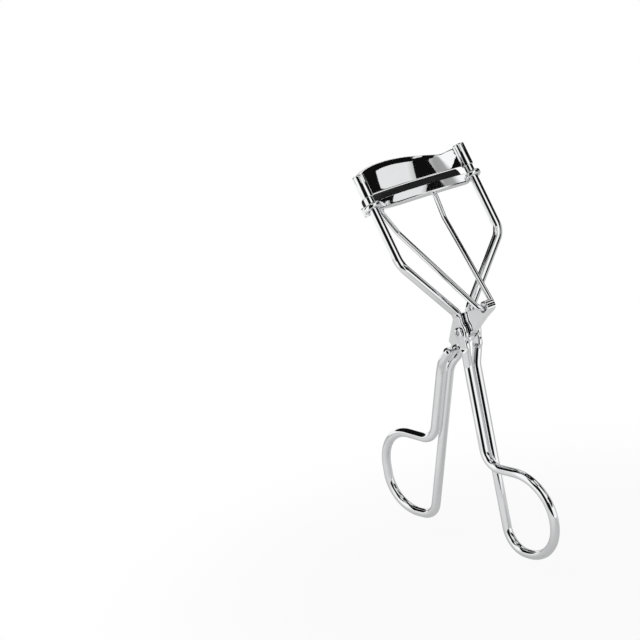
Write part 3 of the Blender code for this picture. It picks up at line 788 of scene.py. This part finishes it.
web_end = inward(web[2], web[1], web[2], SHEET)
hollow = [inward(web[0], web[0], web[1], SHEET) - arm_way * knuckle_r,
          inward(web[1], web[0], web[2], SHEET), web_end,
          web_end + (web[2] - web[1]).normalized() * 20, Vector((20, -20)), Vector((20, 20)),
          slot_near - arm_way * knuckle_r * 1.2 - knuckle_side / knuckle_r * 20]
slot = (arc_outline(slot_far, slot_r, arm_turn - math.pi / 2, arm_turn + math.pi / 2, 24)
        + arc_outline(slot_near, slot_r, arm_turn + math.pi / 2, arm_turn + 1.5 * math.pi, 24))
rivet_hole = arc_outline((0, 0), 1.15, 0, 2 * math.pi * 47 / 48, 47)
bracket = side_plate("bracket_solid", [outline], BRACKET_HALF)
cuts = [side_plate("bracket_hollow", [hollow], BRACKET_HALF - SHEET),
        side_plate("bracket_holes", [slot, rivet_hole], BRACKET_HALF + 1)]
for cut in cuts:
    boolean = bracket.modifiers.new(cut.name, "BOOLEAN")
    boolean.operation = "DIFFERENCE"
    boolean.solver = "EXACT"
    boolean.object = cut
bevel = bracket.modifiers.new("broken_edges", "BEVEL")
bevel.width = 0.18
bevel.segments = 3
bevel.limit_method = "ANGLE"
bevel.angle_limit = math.radians(35)
bevel.harden_normals = True
bracket.data.materials.append(bracket_chrome)
bracket.data.shade_smooth()
lever_bracket = plain_piece(bracket, "lever_bracket_folded")
lever_bracket.data.transform(Matrix.Scale(MM, 4) @ Matrix.Translation(PIVOT))
for cut in cuts:
    bpy.data.objects.remove(cut)

# %% [markdown]
# ## The rivet
# The pivot is a tubular rivet. One side has a low domed head. The other side, which faces the viewer,
# is open, and its rim is rolled back over the eye. Both are one profile turned about the pivot's axis.

# %% Pivot rivet
def rivet_rings(sides=64):
    end = EYE_X + 0.65 + 0.25 + 0.6
    seat = end - 0.6
    profile = [(-2.0, 0.02), (-2.02, 0.30), (-2.05, 0.46), (-2.3, 0.50), (-3.2, 0.50), (-3.5, 0.53)]
    profile += [(-end + 0.16 - 0.16 * math.sin(math.pi * k / 10), 0.72 - 0.16 * math.cos(math.pi * k / 10))
                for k in range(11)]
    profile += [(-end + 0.20, 1.05), (-end + 0.30, 1.28), (-end + 0.42, 1.38), (-end + 0.52, 1.39),
                (-seat, 1.34), (-seat, 0.9), (seat, 0.9), (seat, 1.34), (seat + 0.08, 1.39)]
    profile += [(seat + 0.1 + 0.5 * math.sin(math.pi * k / 20), 1.39 * math.cos(math.pi * k / 20))
                for k in range(1, 10)]
    profile += [(end, 0.02)]
    return [[from_pivot((x, r * math.cos(2 * math.pi * k / sides), r * math.sin(2 * math.pi * k / sides)))
             for k in range(sides)] for x, r in profile]


pivot_rivet = ringed_piece("pivot_rivet_hollow", [(rivet_rings(), False)], rivet_chrome, crease=50)

# %% [markdown]
# ## Brazed joints
# On the real tool the handle's ends are brazed to the tongue, and the push wire's ends to the
# channel's floor, before plating. The braze fills the corner between the two. A thin bead along each
# handle end, and a small round collar at each arm, show that without closing the seat.

# %% Brazing
bead_routes = []
for side in (-1, 1):
    x = side * (BRACKET_HALF + 0.12)
    first = tongue_start + tongue_way * 0.9
    last = tongue_start + tongue_way * 4.0
    bead_routes.append([from_pivot((x, p.y, p.z)) for p in fill_route([first, last], coarse=0.3)])
handle_braze = wire_piece("handle_braze", bead_routes, 0.42, bracket_chrome, sides=20)

collar = [(PUSH_R - 0.1 + 0.38 * math.cos(2 * math.pi * k / 16), 0.30 * math.sin(2 * math.pi * k / 16))
          for k in range(16)]
collars = [turned_rings(collar, arm_top(side) - Vector((0, 0, 0.36)), 40) for side in (-1, 1)]
arm_braze = ringed_piece("arm_braze", [(rings, True) for rings in collars], tray_chrome)

# %% [markdown]
# ## Who moves with whom
# The frame holds the upper jaw and the rivet. The lever is the bracket and the second handle. The
# lower jaw, its pad and the push wire slide together. Each new piece rides on its body and stands for
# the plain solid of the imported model.

# %% Ride and replace
riders = [(frame_wire, "frame", "frame_wire", "chrome"), (upper_jaw, "frame", "upper_jaw", "chrome"),
          (pivot_rivet, "frame", "pivot_rivet", "chrome"),
          (lever_bracket, "lever", "lever_bracket", "chrome"),
          (lever_handle, "lever", "lever_handle", "chrome"),
          (lower_jaw, "sliding_jaw", "lower_jaw", "chrome"),
          (lash_pad, "sliding_jaw", "lash_pad", "black_rubber"),
          (push_wire, "sliding_jaw", "push_wire", "chrome"),
          (handle_braze, "lever", None, "chrome"), (arm_braze, "sliding_jaw", None, "chrome")]
for piece, body, node, finish in riders:
    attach(piece, body)
    if node:
        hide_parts(node)

# %% [markdown]
# ## The studio
# Chrome has no colour of its own, so the studio decides what it looks like. The background is white:
# the world is white to the camera, and the floor is nearly white but still keeps a soft shadow. What
# the metal mirrors is a dark room with bright windows, which is built further down. It gives the hard
# black lines that make wire read as polished metal.

# %% World and floor
def seen_directly(tree):
    """1 for rays that show the background: from the camera, in a reflection or through glass."""
    path = tree.nodes.new("ShaderNodeLightPath").outputs
    both = calc(tree, "ADD", path["Is Camera Ray"], path["Is Glossy Ray"])
    return calc(tree, "MINIMUM", calc(tree, "ADD", both, path["Is Transmission Ray"]), 1.0)


world = bpy.data.worlds.new("white_room")
bpy.context.scene.world = world
world.use_nodes = True
tree = world.node_tree
tree.nodes.clear()
soft = add_node(tree, "ShaderNodeBackground", {"Color": (1, 1, 1, 1), "Strength": 0.35})
white = add_node(tree, "ShaderNodeBackground", {"Color": (1, 1, 1, 1), "Strength": 1.0})
mixed = add_node(tree, "ShaderNodeMixShader", {0: seen_directly(tree), 1: soft.outputs[0],
                                               2: white.outputs[0]})
add_node(tree, "ShaderNodeOutputWorld", {"Surface": mixed.outputs[0]})


def flat_card(name, corners, material):
    mesh = bpy.data.meshes.new(name)
    mesh.from_pydata(corners, [], [tuple(range(len(corners)))])
    mesh.materials.append(material)
    card = bpy.data.objects.new(name, mesh)
    bpy.context.collection.objects.link(card)
    return card


FLOOR_R = 0.125
floor_paper = bpy.data.materials.new("floor_paper")
floor_paper.use_nodes = True
tree = floor_paper.node_tree
tree.nodes.clear()
path = tree.nodes.new("ShaderNodeLightPath").outputs
place = tree.nodes.new("ShaderNodeTexCoord").outputs["Object"]
from_middle = vector_calc(tree, "LENGTH", place)
fade = between(tree, from_middle, 0.05, FLOOR_R, 0.93, 1.0, smooth=True)
# Painted reflection: to glossy rays the floor glows at a share set by place. It is dimmest in a strip near
# the middle and brighter to the left and the right.
mirrored = calc(tree, "ADD", path["Is Glossy Ray"], path["Is Transmission Ray"])
across = add_node(tree, "ShaderNodeSeparateXYZ", {0: place}).outputs["X"]
left_reflection_glow = between(tree, across, -0.05, 0.005, 0.55, 0.24, smooth=True)
right_reflection_glow = between(tree, across, 0.03, 0.06, 0.24, 0.42, smooth=True)
seen = calc(tree, "MULTIPLY", path["Is Camera Ray"], fade)
share = calc(tree, "MULTIPLY_ADD", mirrored, calc(tree, "MAXIMUM", left_reflection_glow, right_reflection_glow), seen)
paper = add_node(tree, "ShaderNodeBsdfDiffuse", {"Color": (0.42, 0.42, 0.42, 1)})
glow = add_node(tree, "ShaderNodeEmission", {"Color": (1, 1, 1, 1), "Strength": 1.0})
mixed = add_node(tree, "ShaderNodeMixShader", {0: share, 1: paper.outputs[0], 2: glow.outputs[0]})
add_node(tree, "ShaderNodeOutputMaterial", {"Surface": mixed.outputs[0]})
floor_z = cad_box[0][2] - 0.004
flat_card("floor", [(FLOOR_R * math.cos(math.pi * k / 48), FLOOR_R * math.sin(math.pi * k / 48),
                     floor_z) for k in range(96)], floor_paper)
print("floor at", round(floor_z, 4))

# %% [markdown]
# ## The camera
# The picture is taken from the front and a little above, with a long lens, and the tool leans in the
# frame. The camera is placed by its angle, its distance and the pivot, and then turned until the pivot
# falls where it should. That needs no lens shift.

# %% Camera
azimuth = math.radians(42.93)
elevation = math.radians(17.13)
roll = math.radians(-5.95)
FOCAL_PX = 2281.6
look = Vector((math.sin(azimuth) * math.cos(elevation), math.cos(azimuth) * math.cos(elevation),
               -math.sin(elevation)))
level = Vector((math.cos(azimuth), -math.sin(azimuth), 0))
rise = level.cross(look)
cam_right = level * math.cos(roll) + rise * math.sin(roll)
cam_up = rise * math.cos(roll) - level * math.sin(roll)
aim = (PIVOT + Vector((0, -1.04, -0.728))) * MM
place = aim - look * 0.57304
pan = math.atan(151 / FOCAL_PX)
turned_look = look * math.cos(pan) - cam_right * math.sin(pan)
cam_right = cam_right * math.cos(pan) + look * math.sin(pan)
tilt = math.atan(12.9 / math.hypot(FOCAL_PX, 151))
cam_look = turned_look * math.cos(tilt) + cam_up * math.sin(tilt)
cam_up = cam_up * math.cos(tilt) - turned_look * math.sin(tilt)
camera_data = bpy.data.cameras.new("camera")
camera_data.sensor_width = 36.0
camera_data.lens = FOCAL_PX / 640 * 36.0
camera_data.clip_start = 0.01
camera = bpy.data.objects.new("camera", camera_data)
bpy.context.collection.objects.link(camera)
camera.matrix_world = Matrix.Translation(place) @ Matrix((cam_right, cam_up, -cam_look)).transposed().to_4x4()
bpy.context.scene.camera = camera
print("camera at", [round(v, 3) for v in place], "lens", round(camera_data.lens, 1))

# %% [markdown]
# ## Lamps
# Three large soft lamps light the floor and the rubber. They are hidden from reflections, because
# their edges would show in the chrome. Places in the studio are given as the object sees them: degrees
# round from the camera, positive to the right, and degrees up.

# %% Lamps
middle = Vector((0, 0.008, 0.045))
to_camera = Vector((-look.x, -look.y, 0)).normalized()
to_right = level


def studio_point(around, up, distance, centre=middle):
    around = math.radians(around)
    up = math.radians(up)
    flat_way = to_camera * math.cos(around) + to_right * math.sin(around)
    return centre + (flat_way * math.cos(up) + Vector((0, 0, math.sin(up)))) * distance


def lamp(name, around, up, distance, size, power):
    data = bpy.data.lights.new(name, "AREA")
    data.shape = "SQUARE"
    data.size = size
    data.energy = power
    light = bpy.data.objects.new(name, data)
    bpy.context.collection.objects.link(light)
    light.location = studio_point(around, up, distance)
    light.rotation_euler = (middle - light.location).to_track_quat("-Z", "Y").to_euler()
    light.visible_glossy = False
    return light


lamp("lamp_left", -60, 50, 0.9, 0.7, 3.5)
lamp("lamp_right", 75, 40, 1.0, 0.7, 2.2)
lamp("lamp_back", 170, 55, 0.9, 0.6, 1.5)
print("three lamps")

# %% [markdown]
# ## What the chrome mirrors
# A photographer lights chrome with large white panels in a dark room, and moves them until their
# mirror images lie well on the metal. Single cards would do, but they are hard to place for so many
# wires. Here the room is one dome of small patches, seen only in reflections and drawn like a map:
# walls whose brightness runs round the horizon, and panels with corners. Each patch carries its
# brightness as a face attribute, and one material shines with that value. The dome stands close round
# the jaws, as panels do on a table, so each piece sees it from its own height.

# %% Dark room with bright panels
room_paint = bpy.data.materials.new("room_paint")
room_paint.use_nodes = True
tree = room_paint.node_tree
tree.nodes.clear()
bright = add_node(tree, "ShaderNodeAttribute", attribute_name="brightness")
shine = add_node(tree, "ShaderNodeEmission", {"Color": (1, 1, 1, 1), "Strength": bright.outputs["Fac"]})
add_node(tree, "ShaderNodeOutputMaterial", {"Surface": shine.outputs[0]})

DARK = 0.005
# Stops of (degrees round from the camera, value): brightness of the low and the high part of the walls,
# the height where they meet, and how high the walls reach
LOW_WALL = [(-180, 0.6), (-120, 0.48), (-104, 0.6), (-80, 0.68), (-70, 1.0), (-31, 1.0), (-21, DARK),
            (27, DARK), (37, 1.0), (80, 1.0), (100, 0.48), (180, 0.48)]
HIGH_WALL = [(-96, DARK), (-92, 1.0), (-48, 1.0), (-38, DARK), (14, DARK), (24, 1.0), (60, 1.0), (72, DARK),
             (145, DARK), (155, 0.5), (180, 0.5)]
LOW_TOP = [(-180, -12), (-95, -12), (-40, -10), (60, -10), (75, 8), (110, 8), (160, -6), (180, -6)]
WALL_TOP = [(-180, 54), (-45, 54), (-34, 33), (10, 33), (20, 38), (26, 41), (60, 41), (80, 36), (118, 23),
            (180, 12)]
WHITE = [(0, 1.0)]
# Panels above the walls: corners as (degrees round, degrees up), and stops of brightness
PANELS = [([(60, 41), (60, 53), (66, 60), (80, 58), (100, 51), (112, 43), (118, 35), (118, 23), (80, 36)],
           [(60, 0.55), (70, 0.82)]),
          ([(-24, 31), (8, 35), (27, 40), (30, 50), (36, 62), (40, 67), (6, 64), (0, 56), (-24, 46)],
           [(-24, 1.0), (2, 1.0), (5, 0.8), (11, 0.38), (25, 0.34), (31, 0.5), (46, 0.6)]),
          ([(96, 69), (112, 74), (135, 74), (150, 66), (148, 62), (132, 69)], [(0, 0.8)]),
          ([(-72, 50), (-24, 46), (-10, 54), (-20, 60), (-64, 60)], [(0, 0.7)]),
          ([(150, 22), (180, 22), (180, 50), (152, 50)], WHITE),
          ([(-100, -10), (-86, -10), (-80, 20), (-68, 64), (-100, 64)], [(0, DARK)]),
          ([(45, -18), (100, -18), (100, 4), (45, 4)], [(0, DARK)]),
          ([(-180, -28), (-112, -27), (-82, -18), (-82, -8), (-95, -12), (-180, -13)], [(0, 0.95)])]


def level_at(stops, place):
    """Value at a place between stops of (place, value)."""
    for (start, low), (end, high) in zip(stops, stops[1:]):
        if place <= end:
            return low + (high - low) * max(place - start, 0) / (end - start)
    return stops[-1][1]


def inside(corners, x, y):
    """True where a line from the point to the right crosses the outline an odd number of times."""
    odd = False
    for (x0, y0), (x1, y1) in zip(corners, corners[1:] + corners[:1]):
        if (y0 > y) != (y1 > y) and x < x0 + (x1 - x0) * (y - y0) / (y1 - y0):
            odd = not odd
    return odd


def brightness_at(around, up):
    for corners, stops in PANELS:
        if inside(corners, around, up):
            return level_at(stops, around)
    if up > level_at(WALL_TOP, around):
        return DARK
    return level_at(LOW_WALL if up < level_at(LOW_TOP, around) else HIGH_WALL, around)


def reflection_card(name, patches, distance, centre):
    """Patches seen only in reflections, each (left, right, low, high) in degrees, and a brightness."""
    corners = []
    for left, right, low, high, _ in patches:
        corners += [studio_point(x, y, distance, centre) for x, y in
                    ((left, low), (right, low), (right, high), (left, high))]
    mesh = bpy.data.meshes.new(name)
    mesh.from_pydata(corners, [], [tuple(range(4 * i, 4 * i + 4)) for i in range(len(patches))])
    mesh.materials.append(room_paint)
    values = mesh.attributes.new("brightness", "FLOAT", "FACE")
    values.data.foreach_set("value", [patch[4] for patch in patches])
    card = bpy.data.objects.new(name, mesh)
    bpy.context.collection.objects.link(card)
    card.visible_camera = False
    card.visible_diffuse = False
    card.visible_shadow = False
    card.visible_transmission = False
    return card


room = [(a, a + 1, u, u + 1, brightness_at(a + 0.5, u + 0.5))
        for u in range(-50, 90) for a in range(-180, 180)]
ROOM_R = 0.17
ROOM_CENTRE = from_rods((0, 0, -6))
reflection_card("dark_room", room, ROOM_R, ROOM_CENTRE)
print("the room has", len(room), "patches")

# %% Sizes
print("cad box", [[round(v, 5) for v in corner] for corner in cad_box])
